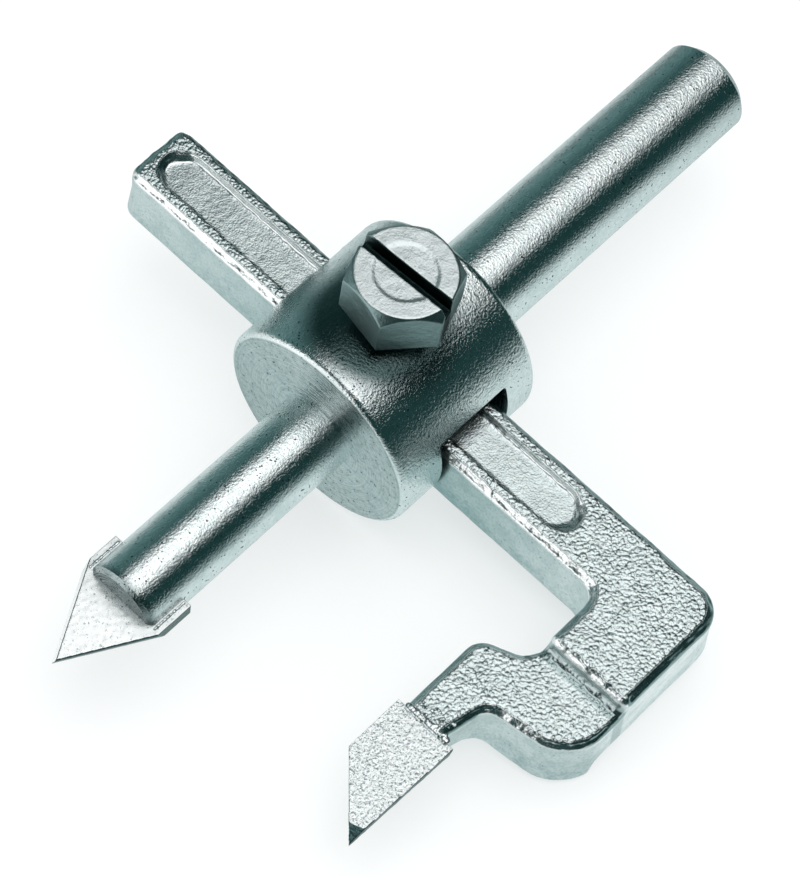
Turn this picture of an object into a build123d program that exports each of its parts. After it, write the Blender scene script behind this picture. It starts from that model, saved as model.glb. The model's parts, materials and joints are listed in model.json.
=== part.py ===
# Tile circle cutter: a spindle with a carbide pilot, a cranked arm that slides through the spindle's
# collar and carries a carbide cutter tip, and the screw that clamps the arm.
# Millimetres. The tool lies on a floor as it comes to rest, on its collar and on the arm's crank, with
# the spindle along Y and the shank towards +Y. The origin is the middle of the shank.
import os
from math import asin, atan2, cos, hypot, radians, sin, tan
from build123d import *

os.makedirs("parts", exist_ok=True)

# Spindle: shank for the drill chuck, collar round the arm, rod down to the pilot
shank_diameter = 10.0
shank_length = 38.4
shank_chamfer = 0.8
collar_diameter = 22.7
collar_length = 18.4
collar_rounding = 0.8
cross_offset = 0.6
rod_diameter = 8.1
rod_length = 25.7
rod_chamfer = 0.4

# Pilot: a flat carbide spade brazed into a cross slot in the rod's end
pilot_width = 9.8
pilot_thickness = 1.6
pilot_seat = 4.3
pilot_point = 8.8
pilot_land = 0.4
pilot_relief = 0.4
braze_film = 0.05

# Arm: a bar across the spindle, a leg beside it and a crank that brings the tip down to the axis
arm_width = 7.8
arm_height = 7.3
arm_draft = 5.0
draft_level = -0.8
arm_tail = 31.5
arm_reach = 39.9
tail_rounding = 1.4
elbow_rounding = 3.2
inner_fillet = 1.8
leg_width = 9.7
leg_end = 10.6
leg_rounding = 1.3
crank_drop = 2.0
under_step = 13.2
step_fillet = 0.85
corner_overrun = 0.25
top_rounding = 1.0
lower_rounding = 0.8
under_rounding = 0.8
under_edge = 0.5

# Lower leg: the outline jogs inwards below the crank and thins towards the cutter tip
jog_inner_start = 12.2
jog_inner_end = 14.25
jog_inner_fillet = 2.8
jog_inner_rounding = 2.2
jog_outer_start = 17.3
jog_outer_end = 18.9
jog_outer_rounding = 5.0
jog_outer_fillet = 1.8
leg_inset = 9.3
lower_width = 5.5
heel_depth = 4.3
heel_start = 18.6
heel_end = 21.6
heel_fillet = 1.5
toe_depth = 2.7
toe_narrowing = 0.95

# Groove in the arm's top face for the screw's point
groove_depth = 0.8
groove_draft = 10.0
groove_ramp = 50.0
groove_tail = 30.3
groove_end = 24.6
point_play = 0.1

# Cutter tip: a carbide plate whose cutting face lies in the plane of the spindle's axis
tip_thickness = 1.8
tip_recess = 0.3
tip_back = 23.9
tip_width = 6.9
tip_overhang = 0.6
tip_shoulder = 30.6
tip_reach = 37.4
tip_lean = 0.4
tip_side_relief = 6.0
tip_facet = 2.0
tip_facet_drop = 0.7
tip_backing_inset = 1.15

# Clamp screw: hexagon head with a screwdriver slot, flat point in the groove
screw_diameter = 6.0
screw_point_diameter = 4.0
screw_point_length = 1.6
head_across_flats = 10.0
head_height = 5.5
head_face_radius = 4.85
head_chamfer_drop = 1.1
head_lift = 1.45
head_turn = -10.0
head_slot_width = 1.15
head_slot_depth = 1.9
head_slot_turn = 3.0
head_dish_diameter = 6.4
head_dish_depth = 0.25
head_dish_draft = 55.0
thread_clearance = 0.05

# Clearances of the sliding arm in the collar
slide_clearance = 0.05
side_play = 0.3
lift_play = 2.1
slot_rounding = 0.4

# Levels above the spindle's axis, measured square to the arm
lower_top = tip_recess
arm_top = lower_top + crank_drop
arm_bottom = arm_top - arm_height
lower_bottom = lower_top - arm_height
slot_floor = arm_bottom - slide_clearance
slot_roof = arm_top + lift_play
point_level = arm_top - groove_depth + slide_clearance
groove_width = screw_point_diameter + 2 * (point_play + groove_depth * tan(radians(groove_draft)))
groove_length = groove_end + groove_tail
ramp_length = groove_depth * (tan(radians(groove_ramp)) - tan(radians(groove_draft)))
collar_radius = collar_diameter / 2
# The arm crosses the collar a little off its middle, towards the shank
collar_front = collar_length / 2 + cross_offset
collar_back = collar_length / 2 - cross_offset
rod_end = collar_front + rod_length
tolerance = 0.01

# Below its draft level the arm spreads downwards, and its slot clears the widest part in the collar
slot_width = arm_width + 2 * ((draft_level - arm_bottom) * tan(radians(arm_draft)) + side_play)
lower_spread = (draft_level - lower_bottom) * tan(radians(arm_draft))

# Sides of the lower leg and of the tip, taken from the elbow's outer side
leg_outer = arm_reach - leg_inset
leg_inner = leg_outer - lower_width
tip_outer = leg_outer + tip_overhang
tip_inner = tip_outer - tip_width

# The tool rolls about its collar until the crank's underside meets the floor
edge_arm = arm_reach + lower_spread - under_edge
edge_drop = -lower_bottom
rest_roll = asin(collar_radius / hypot(edge_arm, edge_drop)) - atan2(edge_drop, edge_arm)

# The tool's own frame: x along the arm to its elbow, y along the spindle to the shank, z up out of
# the screw. Its origin is where the arm crosses the spindle.
crossing = (0, -shank_length / 2 - collar_back, 0)
tool = Plane(
    origin=crossing,
    x_dir=(cos(rest_roll), 0, -sin(rest_roll)),
    z_dir=(sin(rest_roll), 0, cos(rest_roll)),
)
across = Plane(origin=crossing, x_dir=tool.y_dir, z_dir=tool.x_dir)
spindle_axis = Axis(tool.origin, tool.y_dir)
screw_axis = Axis(tool.origin, tool.z_dir)
arm_axis = Axis(tool.origin, tool.x_dir)

# Spindle, turned in one piece
with BuildPart() as spindle:
    with BuildSketch(tool):
        with BuildLine():
            Polyline(
                (0, -rod_end),
                (rod_diameter / 2 - rod_chamfer, -rod_end),
                (rod_diameter / 2, -rod_end + rod_chamfer),
                (rod_diameter / 2, -collar_front),
                (collar_radius, -collar_front),
                (collar_radius, collar_back),
                (shank_diameter / 2, collar_back),
                (shank_diameter / 2, collar_back + shank_length - shank_chamfer),
                (shank_diameter / 2 - shank_chamfer, collar_back + shank_length),
                (0, collar_back + shank_length),
                close=True,
            )
        make_face()
    revolve(axis=spindle_axis)
    rims = edges().filter_by(GeomType.CIRCLE).filter_by(lambda e: e.radius > collar_radius - tolerance)
    fillet(rims, collar_rounding)
    # slot for the arm, right through the collar
    with BuildSketch(across):
        with Locations((0, (slot_roof + slot_floor) / 2)):
            RectangleRounded(slot_width, slot_roof - slot_floor, slot_rounding)
    extrude(amount=collar_diameter, both=True, mode=Mode.SUBTRACT)
    # threaded hole for the clamp screw
    with BuildSketch(tool.offset(arm_top)):
        Circle(screw_diameter / 2 + thread_clearance)
    extrude(amount=collar_diameter, mode=Mode.SUBTRACT)
    # cross slot for the pilot
    with BuildSketch(tool):
        with Locations((0, -rod_end + pilot_seat / 2)):
            Rectangle(collar_diameter, pilot_seat)
    extrude(amount=pilot_thickness / 2 + braze_film, both=True, mode=Mode.SUBTRACT)
spindle.part.label = "spindle"
export_step(spindle.part, "parts/spindle.step")

# Pilot, a spade with its two cutting edges ground back on opposite faces
pilot_half = pilot_width / 2
with BuildPart() as pilot_tip:
    with BuildSketch(tool):
        with BuildLine():
            Polyline(
                (-pilot_half, -rod_end),
                (0, -rod_end - pilot_point),
                (pilot_half, -rod_end),
                (pilot_half, -rod_end + pilot_seat - braze_film),
                (-pilot_half, -rod_end + pilot_seat - braze_film),
                close=True,
            )
        make_face()
    extrude(amount=pilot_thickness / 2, both=True)
    for side in (1, -1):
        flank_middle = tool.from_local_coords((side * pilot_half / 2, -rod_end - pilot_point / 2, 0))
        flank = faces().sort_by_distance(flank_middle)[0]
        lip = edges().sort_by_distance(flank_middle - tool.z_dir * side * pilot_thickness / 2)[0]
        chamfer(lip, pilot_thickness - pilot_land, pilot_relief, reference=flank)
pilot_tip.part.label = "pilot_tip"
export_step(pilot_tip.part, "parts/pilot_tip.step")

# Arm: its outline from above, its profile from the tail, and the step down to the lower leg
half_width = arm_width / 2
leg_inside = arm_reach - leg_width
slant_slope = (tip_reach - tip_shoulder) / (tip_outer - tip_lean - tip_inner)
toe_side = leg_outer - toe_narrowing
toe_inner = tip_shoulder + (leg_inner - tip_inner) * slant_slope - tip_backing_inset
toe_outer = toe_inner + (toe_side - leg_inner) * slant_slope
arm_corners = [
    ((-arm_tail, half_width), tail_rounding),
    ((arm_reach, half_width), elbow_rounding),
    ((arm_reach, -jog_outer_start), jog_outer_rounding),
    ((leg_outer, -jog_outer_end), jog_outer_fillet),
    ((toe_side, -tip_back), 0),
    ((toe_side, -toe_outer), 0),
    ((leg_inner, -toe_inner), 0),
    ((leg_inner, -jog_inner_end), jog_inner_rounding),
    ((leg_inside, -jog_inner_start), jog_inner_fillet),
    ((leg_inside, -half_width), inner_fillet),
    ((-arm_tail, -half_width), tail_rounding),
]
profile_corners = [
    ((arm_width, arm_bottom), 0),
    ((arm_width, arm_top), 0),
    ((-tip_back, arm_top), 0),
    ((-tip_back, -tip_thickness - braze_film), 0),
    ((-tip_reach, -tip_thickness - braze_film), 0),
    ((-tip_reach, -toe_depth), 0),
    ((-heel_end, -heel_depth), heel_fillet),
    ((-heel_start, lower_bottom), heel_fillet),
    ((-under_step - under_rounding, lower_bottom), under_rounding),
    ((-under_step, arm_bottom), under_rounding),
]
step_side = leg_end - 2 * leg_rounding
step_corners = [
    ((leg_inside - corner_overrun, -step_side), 0),
    ((leg_inside - corner_overrun, -leg_end), leg_rounding),
    ((arm_reach + corner_overrun, -leg_end), leg_rounding),
    ((arm_reach + corner_overrun, -step_side), 0),
    ((arm_reach + leg_width, -step_side), 0),
    ((arm_reach + leg_width, -tip_reach), 0),
    ((0, -tip_reach), 0),
    ((0, -step_side), 0),
]


def closed_outline(corners):
    points = [point for point, radius in corners]
    radii = [radius for point, radius in corners]
    FilletPolyline(*points, radius=radii, close=True)


def in_tool(shape):
    return tool.to_local_coords(shape.center())


def highest(edge):
    return max(tool.to_local_coords(edge @ end).Z for end in (0, 1))


# The space above the lower leg, which leaves a rounded foot to the step
with BuildPart() as above_lower_leg:
    with BuildSketch(tool.offset(lower_top)):
        with BuildLine():
            closed_outline(step_corners)
        make_face()
    extrude(amount=arm_height)
    foot = edges().filter_by(
        lambda e: in_tool(e).Z < lower_top + tolerance
        and in_tool(e).Y > -leg_end - tolerance
        and leg_inside - leg_rounding < in_tool(e).X < arm_reach + leg_rounding
    )
    fillet(foot, step_fillet)

# The arm's lower body, with drafted sides and a bevelled underside
with BuildPart() as lower_body:
    with BuildSketch(tool.offset(draft_level)):
        with BuildLine():
            closed_outline(arm_corners)
        make_face()
    extrude(amount=lower_bottom - draft_level, taper=-arm_draft)
    with BuildSketch(across):
        with BuildLine():
            closed_outline(profile_corners)
        make_face()
    extrude(amount=arm_reach + arm_tail, both=True, mode=Mode.INTERSECT)
    crosswise = edges().filter_by(arm_axis).filter_by(lambda e: in_tool(e).Y < -half_width - tolerance)
    low_rims = edges().filter_by(lambda e: highest(e) < -toe_depth + tolerance and e not in crosswise)
    chamfer(low_rims.sort_by(screw_axis), under_edge)

# The arm's upper body, joined with the lower one
with BuildPart() as cutter_arm:
    with BuildSketch(tool.offset(draft_level)):
        with BuildLine():
            closed_outline(arm_corners)
        make_face()
    extrude(amount=arm_top - draft_level)
    with BuildSketch(across):
        with Locations((-tip_back - arm_reach / 2, arm_top)):
            Rectangle(arm_reach, 2 * (arm_top - draft_level))
    extrude(amount=arm_reach + arm_tail, both=True, mode=Mode.SUBTRACT)
    add(above_lower_leg.part, mode=Mode.SUBTRACT)
    # forged edges: the rims of the lower level, then those of the upper one
    lower_rims = edges().filter_by(
        lambda e: abs(in_tool(e).Z - lower_top) < tolerance and in_tool(e).Y > -tip_back + tolerance
    )
    fillet(lower_rims, lower_rounding)
    fillet(edges().filter_by(lambda e: in_tool(e).Z > arm_top - tolerance), top_rounding)
    add(lower_body.part)
    # groove for the screw's point: a slot with ramped walls, then a shorter one with steep walls that
    # widens its floor to the screw's point
    for length, draft in ((groove_length, groove_ramp), (groove_length - 2 * ramp_length, groove_draft)):
        with BuildSketch(tool.offset(arm_top)):
            with Locations(((groove_end - groove_tail) / 2, 0)):
                SlotOverall(length, groove_width)
        extrude(amount=-groove_depth, taper=draft, mode=Mode.SUBTRACT)
cutter_arm.part.label = "cutter_arm"
export_step(cutter_arm.part, "parts/cutter_arm.step")

# Cutter tip: its sides are relieved below the cutting face, and its point has a small ground facet
tip_point = (tip_outer - tip_lean, -tip_reach, 0)
lean_edge = atan2(tip_lean, tip_reach - tip_back)
slant_edge = atan2(tip_inner - tip_point[0], tip_reach - tip_shoulder)
bisector = (lean_edge + slant_edge) / 2
facet_slope = atan2(tip_facet_drop, tip_facet)
facet_back = tool.x_dir * sin(bisector) + tool.y_dir * cos(bisector)
facet_plane = Plane(
    origin=tool.from_local_coords(tip_point) + facet_back * tip_facet,
    z_dir=tool.z_dir * cos(facet_slope) - facet_back * sin(facet_slope),
)
with BuildPart() as cutter_tip:
    with BuildSketch(tool):
        with BuildLine():
            Polyline(
                (tip_inner, -tip_back + tip_thickness),
                (tip_outer, -tip_back + tip_thickness),
                (tip_outer, -tip_back),
                tip_point[:2],
                (tip_inner, -tip_shoulder),
                close=True,
            )
        make_face()
    extrude(amount=-tip_thickness, taper=tip_side_relief)
    back_plane = Plane(origin=tool.from_local_coords((0, -tip_back - braze_film, 0)), z_dir=tool.y_dir)
    split(bisect_by=back_plane, keep=Keep.BOTTOM)
    split(bisect_by=facet_plane, keep=Keep.BOTTOM)
cutter_tip.part.label = "cutter_tip"
export_step(cutter_tip.part, "parts/cutter_tip.step")

# Clamp screw
head_bottom = collar_radius + head_lift
head_top = head_bottom + head_height
head_corner = head_across_flats / 3**0.5
shank_end = point_level + screw_point_length
with BuildPart() as clamp_screw:
    with BuildSketch(tool.offset(head_bottom)):
        RegularPolygon(head_across_flats / 2, 6, major_radius=False, rotation=head_turn)
    extrude(amount=head_height)
    # chamfered corners of the hexagon
    with BuildSketch(across):
        with BuildLine():
            Polyline(
                (0, head_bottom),
                (2 * head_corner - head_face_radius, head_bottom),
                (2 * head_corner - head_face_radius, head_top - 2 * head_chamfer_drop),
                (head_face_radius, head_top),
                (0, head_top),
                close=True,
            )
        make_face()
    revolve(axis=screw_axis, mode=Mode.INTERSECT)
    with BuildSketch(tool.offset(head_top)):
        Circle(head_dish_diameter / 2)
    extrude(amount=-head_dish_depth, taper=head_dish_draft, mode=Mode.SUBTRACT)
    with BuildSketch(tool.offset(head_top)):
        Rectangle(2 * head_across_flats, head_slot_width, rotation=head_slot_turn)
    extrude(amount=-head_slot_depth, mode=Mode.SUBTRACT)
    # threaded shank, drawn at its full diameter, and the flat point
    with BuildSketch(tool.offset(head_bottom)):
        Circle(screw_diameter / 2)
    extrude(amount=shank_end - head_bottom)
    with BuildSketch(tool.offset(shank_end)):
        Circle(screw_point_diameter / 2)
    extrude(amount=-screw_point_length)
clamp_screw.part.label = "clamp_screw"
export_step(clamp_screw.part, "parts/clamp_screw.step")
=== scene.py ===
import bpy
import bmesh
import json
import math
import random
from mathutils import Matrix, Vector, noise


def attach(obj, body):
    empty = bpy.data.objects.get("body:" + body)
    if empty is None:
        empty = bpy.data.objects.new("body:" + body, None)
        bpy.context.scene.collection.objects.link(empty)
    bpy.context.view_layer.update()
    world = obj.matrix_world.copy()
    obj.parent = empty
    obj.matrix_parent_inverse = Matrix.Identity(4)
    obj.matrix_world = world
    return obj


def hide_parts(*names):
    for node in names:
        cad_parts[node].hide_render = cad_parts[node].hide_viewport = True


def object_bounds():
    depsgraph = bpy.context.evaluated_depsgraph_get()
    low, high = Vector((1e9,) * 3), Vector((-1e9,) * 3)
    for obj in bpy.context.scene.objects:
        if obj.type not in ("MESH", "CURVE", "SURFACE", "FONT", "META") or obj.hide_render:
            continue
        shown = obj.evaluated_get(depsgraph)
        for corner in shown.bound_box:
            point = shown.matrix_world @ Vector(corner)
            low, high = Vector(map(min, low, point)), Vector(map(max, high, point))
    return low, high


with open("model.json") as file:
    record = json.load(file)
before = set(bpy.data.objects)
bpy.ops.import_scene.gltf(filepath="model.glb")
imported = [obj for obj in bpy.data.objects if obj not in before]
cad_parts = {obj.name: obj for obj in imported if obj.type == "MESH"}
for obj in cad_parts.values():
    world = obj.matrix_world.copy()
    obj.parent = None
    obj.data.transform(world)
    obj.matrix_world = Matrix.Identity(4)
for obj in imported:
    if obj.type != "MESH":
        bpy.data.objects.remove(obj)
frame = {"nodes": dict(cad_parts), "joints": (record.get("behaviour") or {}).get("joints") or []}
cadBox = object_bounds()
mm = 0.001

# The tool's own axes, from the joints: x along the arm, y along the spindle, z up out of the screw
joints = {joint["name"]: joint for joint in frame["joints"]}
armAxis = Vector(joints["arm_slide"]["axis"]).normalized()
screwAxis = Vector(joints["screw_turn"]["axis"]).normalized()
spindleAxis = screwAxis.cross(armAxis).normalized()
crossing = Vector(joints["screw_turn"]["pos_m"])
toolTurn = Matrix((armAxis, spindleAxis, screwAxis)).transposed()
toolPlace = Matrix.Translation(crossing) @ toolTurn.to_4x4()
print("Frame loaded, crossing at", [round(value / mm, 2) for value in crossing])


# Mesh helpers. Pieces are made in the tool's axes, and their lengths are given in mm

def nodeInTool(nodeName):  # a merged copy of a CAD node
    bm = bmesh.new()
    bm.from_mesh(frame["nodes"][nodeName].data)
    bmesh.ops.remove_doubles(bm, verts=bm.verts, dist=0.002 * mm)
    bmesh.ops.transform(bm, matrix=toolPlace.inverted(), verts=bm.verts)
    return bm


def objectFrom(bm, name):
    mesh = bpy.data.meshes.new(name)
    bm.to_mesh(mesh)
    bm.free()
    made = bpy.data.objects.new(name, mesh)
    bpy.context.scene.collection.objects.link(made)
    return made


def withModifiers(made):  # the mesh that its modifiers give, as a bmesh
    bpy.context.view_layer.update()
    shown = made.evaluated_get(bpy.context.evaluated_depsgraph_get())
    bm = bmesh.new()
    bm.from_mesh(shown.to_mesh())
    shown.to_mesh_clear()
    mesh = made.data
    bpy.data.objects.remove(made)
    bpy.data.meshes.remove(mesh)
    return bm


def remeshed(bm, name, voxel):
    made = objectFrom(bm, name)
    remesh = made.modifiers.new("remesh", "REMESH")
    remesh.mode = "VOXEL"
    remesh.voxel_size = voxel * mm
    return withModifiers(made)


def evenOut(bm, rounds):
    for _ in range(rounds):
        bmesh.ops.smooth_vert(bm, verts=bm.verts, factor=0.5,
                              use_axis_x=True, use_axis_y=True, use_axis_z=True)
    bm.normal_update()


def push(bm, distance):  # moves every point along its normal, by the mm that distance gives for it
    for vert in bm.verts:
        vert.co += vert.normal * distance(vert) * mm


def cutOff(bm, level, side):  # what lies above a level, or below it where side is -1
    bmesh.ops.bisect_plane(bm, geom=bm.verts[:] + bm.edges[:] + bm.faces[:], clear_outer=True,
                           plane_co=(0, 0, level * mm), plane_no=(0, 0, side))


def addTo(bm, part, name):
    mesh = bpy.data.meshes.new(name)
    part.to_mesh(mesh)
    part.free()
    bm.from_mesh(mesh)
    bpy.data.meshes.remove(mesh)


def finished(bm, name, material, body, nodes=(), sharp=180):
    bmesh.ops.transform(bm, matrix=toolPlace, verts=bm.verts)
    made = objectFrom(bm, name)
    made.data.shade_smooth()
    if sharp < 180:
        made.data.set_sharp_from_angle(angle=math.radians(sharp))
    made.data.materials.append(material)
    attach(made, body)
    if nodes:
        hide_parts(*nodes)
    print(name, len(made.data.vertices), "vertices")


def ramp(value, low, high):  # 0 at low, 1 at high, smooth between
    share = min(max((value - low) / (high - low), 0), 1)
    return share * share * (3 - 2 * share)


def lump(point, kind):  # smooth noise, from its height, its size and its seed
    height, size, seed = kind
    return height * noise.noise(point / (size * mm) + Vector((seed, -seed, 2 * seed)))


# Shader helpers

class Wire:  # a socket that takes part in Python expressions
    def __init__(self, finish, socket):
        self.finish, self.socket = finish, socket

    def math(self, operation, first, second):
        return self.finish.node("ShaderNodeMath", {"operation": operation}, {0: first, 1: second})

    def __add__(self, other):
        return self.math("ADD", self, other)

    def __sub__(self, other):
        return self.math("SUBTRACT", self, other)

    def __rsub__(self, other):
        return self.math("SUBTRACT", other, self)

    def __mul__(self, other):
        return self.math("MULTIPLY", self, other)

    __radd__ = __add__
    __rmul__ = __mul__


class Finish:  # a metal or a paint, and the way its nodes are made
    def __init__(self, name):
        self.data = bpy.data.materials.new(name)
        self.data.use_nodes = True
        self.shader = self.data.node_tree.nodes["Principled BSDF"]
        self.shader.inputs["Metallic"].default_value = 1
        self.point = self.node("ShaderNodeMapping", {"vector_type": "TEXTURE"}, {
            "Vector": self.node("ShaderNodeTexCoord", output="Object"),
            "Location": crossing, "Rotation": toolTurn.to_euler(), "Scale": (mm, mm, mm)})
        self.x, self.y, self.z = [
            self.node("ShaderNodeSeparateXYZ", values={0: self.point}, output=part) for part in "XYZ"]
        self.facing = self.node("ShaderNodeTexCoord", output="Normal")

    def feed(self, socket, value):  # a colour is given without its alpha
        if isinstance(value, Wire):
            self.data.node_tree.links.new(value.socket, socket)
        else:
            socket.default_value = (*value, 1) if socket.type == "RGBA" else value

    def node(self, kind, settings=None, values=None, output=0):
        made = self.data.node_tree.nodes.new(kind)
        for key, value in (settings or {}).items():
            setattr(made, key, value)
        for key, value in (values or {}).items():
            self.feed(made.inputs[key], value)
        return Wire(self, made.outputs[output])

    def noise(self, size, detail, roughness=0.5):  # 0 to 1, size of a lump in mm
        return self.node("ShaderNodeTexNoise", {}, {
            "Vector": self.point, "Scale": 1 / size, "Detail": detail, "Roughness": roughness})

    def cells(self, size, smoothness=0):  # 0 in the middle of a cell, size in mm
        values = {"Vector": self.point, "Scale": 1 / size}
        if not smoothness:
            return self.node("ShaderNodeTexVoronoi", {}, values, "Distance")
        values["Smoothness"] = smoothness
        return self.node("ShaderNodeTexVoronoi", {"feature": "SMOOTH_F1"}, values, "Distance")

    def step(self, value, low, high):  # 0 at low, 1 at high
        return self.node("ShaderNodeMapRange", {"interpolation_type": "SMOOTHSTEP"}, {
            "Value": value, "From Min": low, "From Max": high, "To Min": 0, "To Max": 1})

    def magnitude(self, value):
        return self.node("ShaderNodeMath", {"operation": "ABSOLUTE"}, {0: value})

    def inside(self, value, limit, edge):  # 1 where the value is closer to 0 than the limit
        return self.step(self.magnitude(value), limit + edge, limit)

    def vector(self, operation, first, second, output=0):
        return self.node("ShaderNodeVectorMath", {"operation": operation}, {0: first, 1: second}, output)

    def reach(self, across, centre=(0, 0, 0)):  # distance from a centre, along the axes that are 1
        away = self.vector("SUBTRACT", self.vector("MULTIPLY", self.point, across), centre)
        return self.node("ShaderNodeVectorMath", {"operation": "LENGTH"}, {0: away}, "Value")

    def along(self, axis):  # how far the point lies along an axis
        return self.vector("DOT_PRODUCT", self.point, axis, "Value")

    def towards(self, axis):  # cosine of the angle between the surface's facing and an axis
        return self.vector("DOT_PRODUCT", self.facing, axis, "Value")

    def mix(self, share, first, second):
        return self.node("ShaderNodeMix", {"data_type": "RGBA"}, {0: share, 6: first, 7: second}, 2)

    def coated(self, tone, mask, coat):  # a coat is its share and its colour
        share, colour = coat
        return self.mix(mask * share, tone, colour)

    def relief(self, height, depth):  # bump, depth in mm
        bump = self.node("ShaderNodeBump", {}, {"Height": height, "Distance": depth * mm, "Strength": 1})
        self.set({"Normal": bump})

    def set(self, values):
        for key, value in values.items():
            self.feed(self.shader.inputs[key], value)


# Spindle: turned from one bar, then slotted for the arm and the pilot.
# Lengths are in mm. A From value says where something starts and where it is full, in mm, in a noise's
# value or in the cosine of the surface's facing. A share with a colour is a coat, laid over the tone

spindle = {
    "shankRadius": 5.0, "shankEnd": 47.0, "shankChamfer": 0.8,
    "collarRadius": 11.35, "collarFront": -9.8, "collarBack": 8.6, "collarRounding": 0.8,
    "rodRadius": 4.05, "rodEnd": -35.5, "rodChamfer": 0.4,
    "slotWidth": 9.135, "slotFloor": -5.05, "slotRoof": 4.4, "slotRounding": 0.4,
    "holeRadius": 3.05, "holeFloor": 1, "pilotSlot": 1.7, "pilotSeat": 4.3, "steps": 180, "sharp": 32,
    "gritSize": 0.22, "blotchSize": 0.7, "cloudSize": 3, "dimpleSize": 0.3, "pitSize": 0.38,
    "ringSize": 0.2, "relief": 0.045, "roughness": 0.08,
    "bright": (0.97, 1, 1), "dull": (0.82, 0.89, 0.89), "brightFrom": (0.35, 0.65),
    "faceShade": (0.3, 0.4, 0.4), "faceFrom": (0.9, 0.97),
    "rodEndDark": (0.7, (0.12, 0.18, 0.18)), "rodEndDarkFrom": (1.2, 0.2),  # above the rod's end
    "pit": (1, (0.03, 0.08, 0.08)), "pitFrom": (0.06, -0.01), "collarFrom": (5.2, 6.2),
    "headShadow": (0.92, (0.03, 0.08, 0.08)), "shadowPlace": (-0.5, -1.8, 0),
    "shadowFrom": (8.6, 5.6), "shadowLevelFrom": (7, 9.5),
    "slotShadow": (0.8, (0.05, 0.1, 0.1)), "slotShadowFrom": (11.25, 11.05),
}


def blockCutter(name, low, high, rounding=0):  # rounding of the edges along x
    bm = bmesh.new()
    bmesh.ops.create_cube(bm, size=1)
    size = [(top - bottom) * mm for bottom, top in zip(low, high)]
    bmesh.ops.scale(bm, vec=size, verts=bm.verts)
    bmesh.ops.translate(bm, vec=[(top + bottom) / 2 * mm for bottom, top in zip(low, high)], verts=bm.verts)
    if rounding:
        alongX = [edge for edge in bm.edges
                  if abs(edge.verts[0].co.x - edge.verts[1].co.x) > size[0] / 2]
        bmesh.ops.bevel(bm, geom=alongX, offset=rounding * mm, segments=4, profile=0.5,
                        affect="EDGES", material=-1)
    return objectFrom(bm, name)


def holeCutter(name, radius, low, high):
    bm = bmesh.new()
    bmesh.ops.create_cone(bm, cap_ends=True, segments=96, radius1=radius * mm, radius2=radius * mm,
                          depth=(high - low) * mm)
    bmesh.ops.translate(bm, vec=(0, 0, (high + low) / 2 * mm), verts=bm.verts)
    return objectFrom(bm, name)


def collarRims(bm, s):
    inner = (s["collarRadius"] - 0.01) * mm
    rims = []
    for edge in bm.edges:
        first, second = [vert.co for vert in edge.verts]
        onCollar = min(math.hypot(first.x, first.z), math.hypot(second.x, second.z)) > inner
        if onCollar and abs(first.y - second.y) < 0.01 * mm:
            rims.append(edge)
    return rims


def turnedSpindle(s):
    outline = [
        (0, s["rodEnd"]), (s["rodRadius"] - s["rodChamfer"], s["rodEnd"]),
        (s["rodRadius"], s["rodEnd"] + s["rodChamfer"]), (s["rodRadius"], s["collarFront"]),
        (s["collarRadius"], s["collarFront"]), (s["collarRadius"], s["collarBack"]),
        (s["shankRadius"], s["collarBack"]), (s["shankRadius"], s["shankEnd"] - s["shankChamfer"]),
        (s["shankRadius"] - s["shankChamfer"], s["shankEnd"]), (0, s["shankEnd"]),
    ]
    bm = bmesh.new()
    points = [bm.verts.new((radius * mm, along * mm, 0)) for radius, along in outline]
    edges = [bm.edges.new(pair) for pair in zip(points, points[1:])]
    bmesh.ops.spin(bm, geom=points + edges, cent=(0, 0, 0), axis=(0, 1, 0), angle=2 * math.pi,
                   steps=s["steps"], use_merge=True)
    bmesh.ops.remove_doubles(bm, verts=bm.verts, dist=0.001 * mm)
    bmesh.ops.recalc_face_normals(bm, faces=bm.faces)
    bmesh.ops.bevel(bm, geom=collarRims(bm, s), offset=s["collarRounding"] * mm, segments=6,
                    profile=0.5, affect="EDGES", material=-1)
    made = objectFrom(bm, "turned")
    wide, slotHalf, pilotHalf = 2 * s["collarRadius"], s["slotWidth"] / 2, s["pilotSlot"] / 2
    cutters = [
        blockCutter("slotCutter", (-wide, -slotHalf, s["slotFloor"]), (wide, slotHalf, s["slotRoof"]),
                    s["slotRounding"]),
        blockCutter("seatCutter", (-wide, s["rodEnd"] - 1, -pilotHalf),
                    (wide, s["rodEnd"] + s["pilotSeat"], pilotHalf)),
        holeCutter("holeCutter", s["holeRadius"], s["holeFloor"], s["holeFloor"] + wide),
    ]
    for cutter in cutters:
        cut = made.modifiers.new(cutter.name, "BOOLEAN")
        cut.operation = "DIFFERENCE"
        cut.solver = "EXACT"
        cut.object = cutter
    bm = withModifiers(made)
    for cutter in cutters:
        bpy.data.objects.remove(cutter)
    return bm


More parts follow.
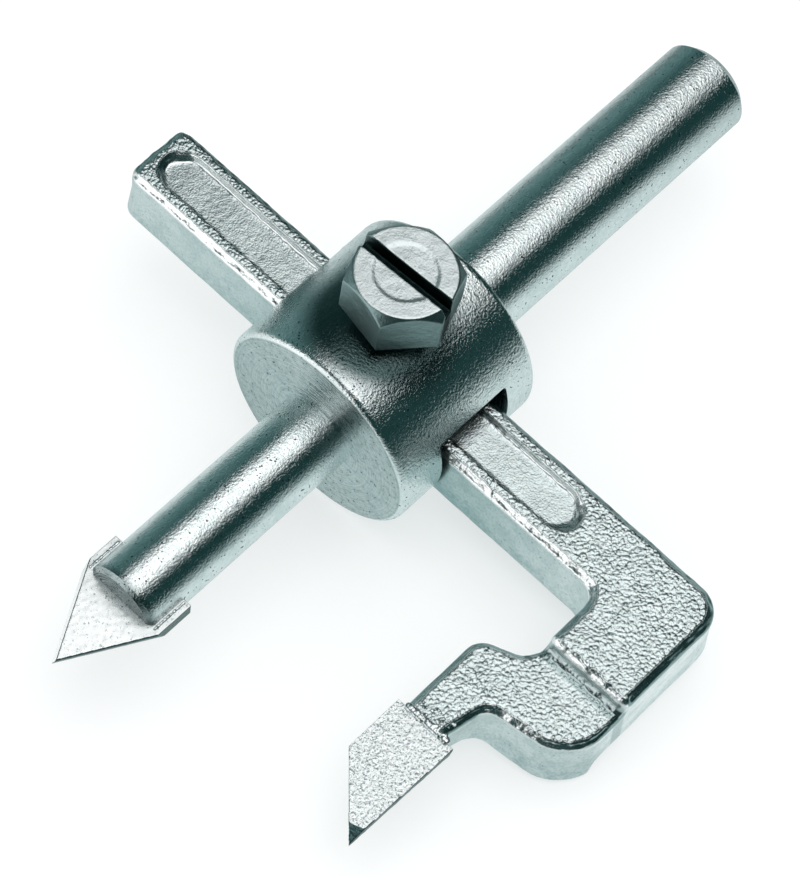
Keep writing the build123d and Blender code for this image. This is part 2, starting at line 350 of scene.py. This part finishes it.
def turnedSteel(s):
    steel = Finish("turnedSteel")
    radius = steel.reach((1, 0, 1))
    grit = steel.noise(s["gritSize"], 3, 0.6)
    blotch = steel.noise(s["blotchSize"], 3)
    cloud = steel.noise(s["cloudSize"], 3)
    onCollar = steel.step(radius, *s["collarFrom"])
    onFace = steel.step(steel.magnitude(steel.towards(spindleAxis)), *s["faceFrom"])
    rings = steel.node("ShaderNodeTexNoise", {"noise_dimensions": "1D"}, {
        "W": radius, "Scale": 1 / s["ringSize"], "Detail": 4})
    pits = steel.step(steel.cells(s["pitSize"]) - (blotch - 0.38) * 0.9, *s["pitFrom"])
    inSlot = steel.inside(steel.y, s["slotWidth"] / 2 + 0.05, 0.08) * steel.step(radius, *s["slotShadowFrom"])
    underHead = (steel.step(steel.reach((1, 1, 0), s["shadowPlace"]), *s["shadowFrom"])
                 * steel.step(steel.z, *s["shadowLevelFrom"]))
    # Darker over the last mm of the rod, by its end
    nearRodEnd = steel.step(steel.y - s["rodEnd"], *s["rodEndDarkFrom"])
    dimples = steel.noise(s["dimpleSize"], 1) * onCollar
    skin = (grit * 1.15 + dimples * 0.8) * (1 - onFace * 0.7)
    steel.relief(skin + blotch * (0.5 - onFace * 0.3) + rings * onFace * 2.2, s["relief"])
    tone = steel.mix(steel.step(cloud * 0.5 + blotch * 0.5, *s["brightFrom"]), s["dull"], s["bright"])
    # The turned end faces are darkened: painted shade, varied by the turned rings and mottle
    faceShadeAndRings = 0.3 + rings * 0.5 + steel.step(blotch, 0.4, 0.65) * 0.25
    tone = steel.mix(onFace * faceShadeAndRings, tone, s["faceShade"])
    tone = steel.coated(tone, nearRodEnd, s["rodEndDark"])
    tone = steel.coated(tone, pits, s["pit"])
    tone = steel.coated(tone, underHead, s["headShadow"])
    tone = steel.coated(tone, inSlot, s["slotShadow"])
    rough = s["roughness"] + grit * 0.09 + onCollar * 0.03 + pits * 0.3
    steel.set({"Base Color": tone, "Roughness": rough})
    return steel.data


finished(turnedSpindle(spindle), "turned_spindle", turnedSteel(spindle), "holder",
         ["spindle"], sharp=spindle["sharp"])


# Arm: a forging, with an uneven skin and ragged rims

arm = {
    "voxel": 0.19, "smoothing": 2, "inset": 0.04, "wave": (0.04, 2.5, 3),
    "grain": (0.02, 0.5, 5), "grainFrom": (0.9, 0.98),
    "rimLump": (0.09, 0.9, 7), "rimNick": (0.036, 0.5, 11), "rimFrom": (0.1, 0.45), "rimEndFrom": (0.99, 0.9),
    "rimFlat": 0.16,
    "grooveRims": (32, 3.4), "stepPlace": -11, "stepRims": 1.4,  # the rims that stay round
    "grooveHalf": 2.2, "grooveFloor": 1.5,
    "lumpSize": 0.3, "domeSize": 0.34, "fineSize": 0.17, "cloudSize": 3, "blotchSize": 1.2, "dotSize": 0.6,
    "grimeSizes": (2.4, 0.3), "relief": 0.07, "roughness": 0.2,
    "bright": (0.82, 0.88, 0.88), "dull": (0.68, 0.76, 0.76), "topFrom": (0.82, 0.97), "sideFrom": (0.4, 0.1),
    "end": (0.6, (0.93, 0.95, 0.95)), "endFrom": (15, 30),
    "nearRimHighlight": (1, (1, 1, 1)), "farRim": (0.75, (0.12, 0.24, 0.24)),
    "grimeAndShade": (1, (0.3, 0.44, 0.44)), "collarPlace": 4, "collarFrom": (24, 7), "undersideFrom": (-2, -5),
    "stepFootShade": (0.6, (0.25, 0.36, 0.36)), "stepFootShadeFrom": (1.5, 0.7),
    "dot": (0.7, (0.1, 0.18, 0.18)), "dotFrom": (0.03, -0.02),
}


def forgedArm(a):
    grooveReach, grooveBand = a["grooveRims"]

    def skin(vert):
        x, y, up = vert.co.x / mm, vert.co.y / mm, vert.normal.z
        distance = lump(vert.co, a["wave"]) - a["inset"]
        atGroove = abs(y) <= grooveBand and abs(x) <= grooveReach
        if up > 0 and not atGroove and abs(y - a["stepPlace"]) > a["stepRims"]:
            distance -= a["rimFlat"] * 4 * up * up * (1 - up * up)  # most at 45 degrees
        onRim = ramp(up, *a["rimFrom"]) * ramp(up, *a["rimEndFrom"])
        distance += onRim * (lump(vert.co, a["rimLump"]) + lump(vert.co, a["rimNick"]))
        return distance + lump(vert.co, a["grain"]) * ramp(up, *a["grainFrom"])

    bm = remeshed(nodeInTool("cutter_arm"), "forging", a["voxel"])
    evenOut(bm, a["smoothing"])
    push(bm, skin)
    return bm


def forgedSteel(a):
    steel = Finish("forgedSteel")
    up, front = steel.towards(screwAxis), steel.towards(-spindleAxis)
    onTop = steel.step(up, *a["topFrom"])
    onSide = steel.step(up, *a["sideFrom"])
    # Rim masks: where highlights and shade are painted along the near and far rims
    nearRimHighlight = steel.step(up, 0.1, 0.3) * steel.step(up, 0.92, 0.8) * steel.step(front, 0.3, 0.5)
    farRim = steel.step(front, 0.45, 0.15) * steel.step(up, 0.05, 0.2)
    farRimShade = farRim * steel.step(up, 0.9, 0.7)
    farRimHighlight = farRim * steel.step(up, 0.84, 0.9) * steel.step(up, 0.985, 0.96)
    inGroove = (steel.inside(steel.y, a["grooveHalf"], 0.2)
                * steel.inside(steel.z - a["grooveFloor"], 0.25, 0.1))
    domes = 1 - steel.cells(a["domeSize"], 0.5)
    fine = steel.noise(a["fineSize"], 2)
    cloud = steel.noise(a["cloudSize"], 3)
    dots = steel.step(steel.cells(a["dotSize"]) - (fine - 0.4) * 0.7, *a["dotFrom"]) * onSide
    coarse = (steel.noise(a["lumpSize"], 1.5) * 0.5 + domes * 1.1) * (1 - inGroove * 0.92)
    coarse = coarse * (onTop * 0.9 + 0.1 + nearRimHighlight * 0.3 - farRimHighlight * 0.5)
    steel.relief(coarse + fine * (0.1 + onTop * 0.5) + cloud * 0.5, a["relief"])
    clouded, speckled = [steel.noise(size, detail) for size, detail in zip(a["grimeSizes"], (5, 3))]
    grime = steel.step(clouded, 0.4, 0.62) * 0.2 + steel.step(speckled, 0.42, 0.66) * 0.2
    shadeNearCollar = steel.step(steel.magnitude(steel.x - a["collarPlace"]), *a["collarFrom"])
    underside = steel.step(steel.z, *a["undersideFrom"]) * steel.noise(a["blotchSize"], 4)
    footShade = steel.inside(steel.y - a["stepPlace"], 0.55, 0.35) * steel.step(steel.z, *a["stepFootShadeFrom"])
    tone = steel.mix(cloud, a["dull"], a["bright"])
    # Painted light: the side faces get lighter away from the collar, towards the arm's ends
    tone = steel.coated(tone, onSide * steel.step(steel.magnitude(steel.x), *a["endFrom"]), a["end"])
    # Painted highlights: white along the near rim, and a light line along the far rim
    tone = steel.coated(tone, nearRimHighlight + farRimHighlight * 0.8, a["nearRimHighlight"])
    # Painted shade: a dark band along the far rim
    tone = steel.coated(tone, farRimShade, a["farRim"])
    # Grime mottle, with painted shade near the collar, and darker towards the bottom, on the side faces
    tone = steel.coated(tone, onSide * (grime + shadeNearCollar * 0.55 + underside * 0.5), a["grimeAndShade"])
    # Painted shade in the crease at the foot of the step
    tone = steel.coated(tone, footShade, a["stepFootShade"])
    tone = steel.coated(tone, dots, a["dot"])
    steel.set({"Base Color": tone, "Roughness": a["roughness"] + fine * 0.1 + onSide * 0.05})
    return steel.data


finished(forgedArm(arm), "forged_arm", forgedSteel(arm), "arm", ["cutter_arm"])


# Clamp screw: a forged head on a cut thread

screw = {
    "voxel": 0.09, "smoothing": 2, "wave": (0.02, 1.4, 2), "grain": (0.01, 0.5, 9),
    "headBottom": 12.8, "headTop": 18.3, "dishRadius": 3.4, "dishDepth": 0.4, "dishFill": 0.65,
    "slotWidth": 1.4, "slotWiden": 0.13, "slotTurn": 3, "slotMiddle": 0.3, "slotLow": 13.3,
    "widenFrom": (1.4, 0.7),
    "threadRadius": 3.0, "rootRadius": 2.45, "pitch": 1.0, "crest": 0.12, "threadLow": 3.15,
    "threadInHead": 0.5, "stepsPerTurn": 36,
    "pointRadius": 2.0, "pointTaper": 0.2, "overlap": 0.2,
    "cloudSize": 1.6, "fineSize": 0.22, "relief": 0.05, "roughness": 0.3,
    "bright": (0.9, 0.94, 0.94), "dull": (0.78, 0.84, 0.84),
    "side": (0.9, (0.22, 0.33, 0.33)), "sideFrom": (0.93, 0.75),
    "slotShade": (1, (0.015, 0.03, 0.03)), "slotShadeFrom": (18.05, 17.85),
}


def acrossSlot(s):
    turn = math.radians(s["slotTurn"])
    return Vector((-math.sin(turn), math.cos(turn), 0))


def threadedShank(s):
    bm = bmesh.new()
    low = s["threadLow"] - s["pitch"]
    turns = math.ceil((s["headBottom"] - low) / s["pitch"]) + 1
    flat = s["crest"] * s["pitch"]
    shape = [(s["rootRadius"], 0), (s["rootRadius"], flat), (s["threadRadius"], s["pitch"] / 2),
             (s["threadRadius"], s["pitch"] / 2 + flat), (s["rootRadius"], s["pitch"])]
    points = [bm.verts.new((radius * mm, 0, (low + along) * mm)) for radius, along in shape]
    edges = [bm.edges.new(pair) for pair in zip(points, points[1:])]
    bmesh.ops.spin(bm, geom=points + edges, cent=(0, 0, 0), axis=(0, 0, 1), angle=2 * math.pi * turns,
                   dvec=(0, 0, s["pitch"] / s["stepsPerTurn"] * mm), steps=s["stepsPerTurn"] * turns)
    bmesh.ops.remove_doubles(bm, verts=bm.verts, dist=0.003 * mm)
    cutOff(bm, s["threadLow"], -1)
    cutOff(bm, s["headBottom"] + s["threadInHead"], 1)
    bmesh.ops.holes_fill(bm, edges=bm.edges, sides=0)
    bmesh.ops.recalc_face_normals(bm, faces=bm.faces)
    return bm


def screwPoint(s, low):
    high = s["threadLow"] + s["overlap"]
    bm = bmesh.new()
    bmesh.ops.create_cone(bm, cap_ends=True, segments=48, radius1=(s["pointRadius"] - s["pointTaper"]) * mm,
                          radius2=s["pointRadius"] * mm, depth=(high - low) * mm)
    bmesh.ops.translate(bm, vec=(0, 0, (high + low) / 2 * mm), verts=bm.verts)
    return bm


def hexagonScrew(s):
    bm = nodeInTool("clamp_screw")
    low = min(vert.co.z for vert in bm.verts) / mm
    cutOff(bm, s["headBottom"] + 0.02, -1)
    bmesh.ops.holes_fill(bm, edges=bm.edges, sides=0)
    bm = remeshed(bm, "head", s["voxel"])
    evenOut(bm, s["smoothing"])
    across = acrossSlot(s)
    for vert in bm.verts:
        move = vert.normal * mm * (lump(vert.co, s["wave"]) + lump(vert.co, s["grain"]))
        inDish = math.hypot(vert.co.x, vert.co.y) < s["dishRadius"] * mm
        if inDish and vert.co.z > (s["headTop"] - s["dishDepth"]) * mm:
            vert.co.z += (s["headTop"] * mm - vert.co.z) * s["dishFill"]
        aside = vert.co.dot(across) / mm
        if abs(aside) > s["slotMiddle"] and vert.co.z > s["slotLow"] * mm:  # the slot's two walls
            wider = s["slotWiden"] * ramp(abs(aside), *s["widenFrom"])
            vert.co += across * math.copysign(wider * mm, aside)
        vert.co += move
    addTo(bm, threadedShank(s), "thread")
    addTo(bm, screwPoint(s, low), "point")
    return bm


def screwSteel(s):
    steel = Finish("screwSteel")
    cloud = steel.noise(s["cloudSize"], 3)
    fine = steel.noise(s["fineSize"], 2)
    onSide = steel.step(steel.towards(screwAxis), *s["sideFrom"])
    inSlot = (steel.inside(steel.along(acrossSlot(s)), s["slotWidth"] / 2 - 0.02, 0.1)
              * steel.step(steel.z, *s["slotShadeFrom"]))
    steel.relief(cloud * 0.2 + fine * 0.5, s["relief"])
    tone = steel.mix(cloud, s["dull"], s["bright"])
    # Painted shade: the head's flats and chamfer are darker
    tone = steel.coated(tone, onSide, s["side"])
    # Painted shade: the slot in the head is near black
    tone = steel.coated(tone, inSlot, s["slotShade"])
    steel.set({"Base Color": tone, "Roughness": s["roughness"] + fine * 0.12})
    return steel.data


finished(hexagonScrew(screw), "hexagon_screw", screwSteel(screw), "screw", ["clamp_screw"])


# Carbide tips: the pilot's spade and the cutter's plate, with one finish

tips = {
    "voxel": 0.1, "pilotChips": (0.012, 0.5, 4), "cutterChips": (0.03, 0.5, 8), "chipInset": 0.6,
    "grainSize": 0.3, "scratchSize": 0.24, "relief": 0.06, "roughness": 0.24, "metallic": 0.85,
    "pilot": (0.99, 1, 1), "cutter": (0.9, 0.93, 0.93), "cutterFrom": (10, 15),
    "speck": (1, (0.12, 0.2, 0.2)), "speckFrom": (0.63, 0.67),
    "edgeFrom": (0.85, 0.6), "rightEdgeShade": (1, (0.03, 0.08, 0.08)), "rightFrom": (-0.3, 0.1),
    "rodReflection": (1, (0.1, 0.2, 0.2)), "rodReflectionFrom": (-38.5, -35), "rodReflectionSideFrom": (6, 4),
    "facet": (1, (0.06, 0.12, 0.12)), "facetFrom": (-34.2, -34.6),
}


def tipPlate(node, chips, t):
    bm = remeshed(nodeInTool(node), node, t["voxel"])
    evenOut(bm, 1)
    push(bm, lambda vert: lump(vert.co, chips) - t["chipInset"] * chips[0])
    return bm


def carbide(t):
    metal = Finish("carbide")
    onCutter = metal.step(metal.x, *t["cutterFrom"])
    grain = metal.noise(t["grainSize"], 2)
    scratches = metal.noise(t["scratchSize"], 3)
    specks = metal.step(scratches + onCutter * 0.06, *t["speckFrom"])
    up = metal.towards(screwAxis)
    onEdge = metal.step(up, *t["edgeFrom"])
    onRight = onEdge * metal.step(metal.towards(armAxis), *t["rightFrom"])
    onFacet = metal.step(up, 0.985, 0.965) * metal.step(up, 0.6, 0.8) * metal.step(metal.y, *t["facetFrom"])
    atRod = metal.step(metal.y, *t["rodReflectionFrom"]) * metal.step(metal.magnitude(metal.x), *t["rodReflectionSideFrom"])
    metal.relief((grain + scratches) * (0.05 + onCutter * 0.95), t["relief"])
    tone = metal.mix(onCutter, t["pilot"], t["cutter"])
    tone = metal.coated(tone, specks * (0.6 + onCutter * 0.1), t["speck"])
    # Painted shade: the tips' edge faces that look along the arm are near black
    tone = metal.coated(tone, onRight, t["rightEdgeShade"])
    # Painted reflection of the rod: grey specks on the pilot next to the rod's end
    tone = metal.coated(tone, atRod * (0.2 + specks * 0.5), t["rodReflection"])
    # Painted shade: the sloping facets beyond the rod's end are dark
    tone = metal.coated(tone, onFacet, t["facet"])
    metal.set({"Base Color": tone, "Metallic": (1 - onEdge + onRight) * t["metallic"],
               "Roughness": t["roughness"] + grain * 0.08})
    return metal.data


tipCarbide = carbide(tips)
finished(tipPlate("pilot_tip", tips["pilotChips"], tips), "pilot_blade", tipCarbide, "holder",
         ["pilot_tip"])
finished(tipPlate("cutter_tip", tips["cutterChips"], tips), "cutter_blade", tipCarbide, "arm",
         ["cutter_tip"])


# Braze: lumps along the tips' seams, and spatter on the leg beside them

braze = {
    "voxel": 0.05, "flatness": 0.6, "seed": 5,
    "cutterSeam": ((25.5, 30.2), -23.9, 0.14), "cutterBeads": 60, "bead": 0.42, "beadRange": (0.7, 1.05),
    "spatterLevel": 0.29, "spatterReach": 1.7, "spatterInset": 0.4, "spatterBeads": 70,
    "spatter": 0.2, "spatterRange": (0.5, 1.1),
    "pilotSeam": (4.25, (-35.3, -31.5), 0.82), "pilotBeads": 60, "pilotBead": 0.17,
    "pilotRange": (0.6, 1.1),
    "grainSize": 0.24, "relief": 0.06, "roughness": 0.26,
    "bright": (0.94, 0.97, 0.97), "tarnish": (0.8, (0.2, 0.3, 0.3)), "tarnishFrom": (0.52, 0.62),
}


def brazed(b, beads, name):  # a bead is its place and its radius
    bm = bmesh.new()
    for place, radius in beads:
        matrix = Matrix.Translation(Vector(place) * mm) @ Matrix.Diagonal((1, 1, b["flatness"], 1))
        bmesh.ops.create_icosphere(bm, subdivisions=2, radius=radius * mm, matrix=matrix)
    return remeshed(bm, name, b["voxel"])


def cutterBeads(b):
    draw = random.Random(b["seed"])
    (left, right), seam, level = b["cutterSeam"]
    beads = []
    for _ in range(b["cutterBeads"]):
        place = (draw.uniform(left, right), seam, level)
        beads.append((place, b["bead"] * draw.uniform(*b["beadRange"])))
    left, right = left + b["spatterInset"], right - b["spatterInset"]
    for _ in range(b["spatterBeads"]):
        away = draw.random() ** 2 * b["spatterReach"]
        place = (draw.uniform(left, right), seam + away, b["spatterLevel"])
        beads.append((place, b["spatter"] * draw.uniform(*b["spatterRange"])))
    return beads


def pilotBeads(b, side):  # side is -1 on the left and 1 on the right
    draw = random.Random(b["seed"] + side)
    across, (front, back), level = b["pilotSeam"]
    beads = []
    for _ in range(b["pilotBeads"]):
        place = (side * across, draw.uniform(front, back), level)
        beads.append((place, b["pilotBead"] * draw.uniform(*b["pilotRange"])))
    return beads


def silver(b):
    metal = Finish("silver")
    worn = metal.noise(b["grainSize"], 3)
    metal.relief(worn, b["relief"])
    tone = metal.coated(b["bright"], metal.step(worn, *b["tarnishFrom"]), b["tarnish"])
    metal.set({"Base Color": tone, "Roughness": b["roughness"]})
    return metal.data


brazeSilver = silver(braze)
finished(brazed(braze, cutterBeads(braze), "cutterSeam"), "cutter_braze", brazeSilver, "arm")
for side, name in ((-1, "left"), (1, "right")):
    finished(brazed(braze, pilotBeads(braze, side), name), "pilot_braze_" + name, brazeSilver,
             "holder")


# Camera, fitted to the photograph's view of the spindle and the arm

view = {"place": (120.03, -161.09, 282.24), "turn": (31.256, -1.044, 43.259), "lens": 144.19,
        "sensor": 36, "nearest": 10}

cameraData = bpy.data.cameras.new("camera")
cameraData.lens = view["lens"]
cameraData.sensor_width = view["sensor"]
cameraData.clip_start = view["nearest"] * mm
camera = bpy.data.objects.new("camera", cameraData)
camera.location = [value * mm for value in view["place"]]
camera.rotation_euler = [math.radians(value) for value in view["turn"]]
bpy.context.scene.collection.objects.link(camera)
bpy.context.scene.camera = camera
print("Camera set")


# Studio: a white floor and world, a soft box overhead, and walls and a front light that only
# reflections show. Places and sizes are in metres here, and the From values in mm from the crossing

studio = {
    "floor": (0.46, 0.46, 0.46), "floorLift": (0.55, 0.56, 0.56), "floorReach": 3.0,
    "floorInMetal": (0.62, 0.72, 0.72), "farInMetal": (0.02, 0.05, 0.05), "farFrom": (30, 130),
    "frontInMetal": (0.95, 0.98, 0.98), "frontFrom": (-20, -48), "frontSideFrom": (20, -8),
    "rightInMetal": (0.88, 0.95, 0.95), "rightFrom": (36, 42), "rightEndFrom": (70, 60),
    "rightHalf": 10, "rightEdgeShade": 6,  # in mm too
    "world": (0.93, 0.96, 0.96), "worldStrength": 0.9,
    "boxPlace": (0.111, 0.065, 0.6), "boxSize": (0.57, 0.67), "boxPower": 1.5,
    "wallReach": 0.7, "wallHeight": 1.4, "dark": (0.01, 0.036, 0.036),
    "leftLow": (0.15, 0.26, 0.26), "leftHigh": (0.05, 0.11, 0.11), "leftHighFrom": (0, 300),
    "frontReach": 0.45, "frontSides": (-0.45, 0.03), "frontTop": 0.33, "frontColour": (1.15, 1.2, 1.2),
}


def plane(name, corners, paint):
    bm = bmesh.new()
    bm.faces.new([bm.verts.new(corner) for corner in corners])
    made = objectFrom(bm, name)
    made.data.materials.append(paint.data)
    return made


def square(reach, height):  # the corners of the floor or the ceiling
    return [(x * reach, y * reach, height) for x, y in ((-1, -1), (1, -1), (1, 1), (-1, 1))]


def upright(first, second, low, high):  # the corners of a wall between two places on the floor
    return [(*first, low), (*second, low), (*second, high), (*first, high)]


def glowPaint(name):
    paint = Finish(name)
    paint.set({"Base Color": (0, 0, 0), "Metallic": 0, "Roughness": 1, "Specular IOR Level": 0,
               "Emission Strength": 1})
    return paint


def floorPaint(s):  # one tone for the camera, and others in the metal's reflections
    paint = glowPaint("floorPaint")
    far = paint.step(paint.reach((1, 1, 0)), *s["farFrom"])
    inFront = paint.step(paint.y, *s["frontFrom"]) * paint.step(paint.x, *s["frontSideFrom"])
    onRight = (paint.step(paint.x, *s["rightFrom"]) * paint.inside(paint.y, s["rightHalf"], s["rightEdgeShade"])
               * paint.step(paint.x, *s["rightEndFrom"]))
    inMetal = paint.mix(far, s["floorInMetal"], s["farInMetal"])
    inMetal = paint.mix(onRight, inMetal, s["rightInMetal"])
    inMetal = paint.mix(inFront, inMetal, s["frontInMetal"])
    seen = paint.node("ShaderNodeLightPath", output="Is Camera Ray")
    paint.set({"Base Color": paint.mix(seen, (0, 0, 0), s["floor"]),
               "Emission Color": paint.mix(seen, inMetal, s["floorLift"])})
    return paint


ground = cadBox[0][2]
plane("floor", square(studio["floorReach"], ground), floorPaint(studio))

darkPaint = glowPaint("darkWall")
darkPaint.set({"Emission Color": studio["dark"]})
leftPaint = glowPaint("leftWall")
high = leftPaint.step(leftPaint.z, *studio["leftHighFrom"])
leftPaint.set({"Emission Color": leftPaint.mix(high, studio["leftLow"], studio["leftHigh"])})
frontPaint = glowPaint("frontLight")
frontPaint.set({"Emission Color": studio["frontColour"]})

side, top, front = studio["wallReach"], studio["wallHeight"], -studio["frontReach"]
frontLeft, frontRight = studio["frontSides"]
walls = {
    "rightWall": (upright((side, -side), (side, side), ground, top), darkPaint),
    "leftWall": (upright((-side, -side), (-side, side), ground, top), leftPaint),
    "farWall": (upright((-side, side), (side, side), ground, top), darkPaint),
    "nearWall": (upright((-side, -side), (side, -side), ground, top), darkPaint),
    "ceiling": (square(side, top), darkPaint),
    "frontLight": (upright((frontLeft, front), (frontRight, front), ground, studio["frontTop"]), frontPaint),
}
for name, (corners, paint) in walls.items():
    wall = plane(name, corners, paint)
    wall.visible_camera = wall.visible_diffuse = wall.visible_shadow = False

boxData = bpy.data.lights.new("softBox", "AREA")
boxData.shape = "RECTANGLE"
boxData.size, boxData.size_y = studio["boxSize"]
boxData.energy = studio["boxPower"]
softBox = bpy.data.objects.new("softBox", boxData)
softBox.location = studio["boxPlace"]
bpy.context.scene.collection.objects.link(softBox)

world = bpy.data.worlds.new("studio")
world.use_nodes = True
world.node_tree.nodes["Background"].inputs["Color"].default_value = (*studio["world"], 1)
world.node_tree.nodes["Background"].inputs["Strength"].default_value = studio["worldStrength"]
bpy.context.scene.world = world
bpy.context.scene.view_settings.view_transform = "Standard"
print("Studio set")
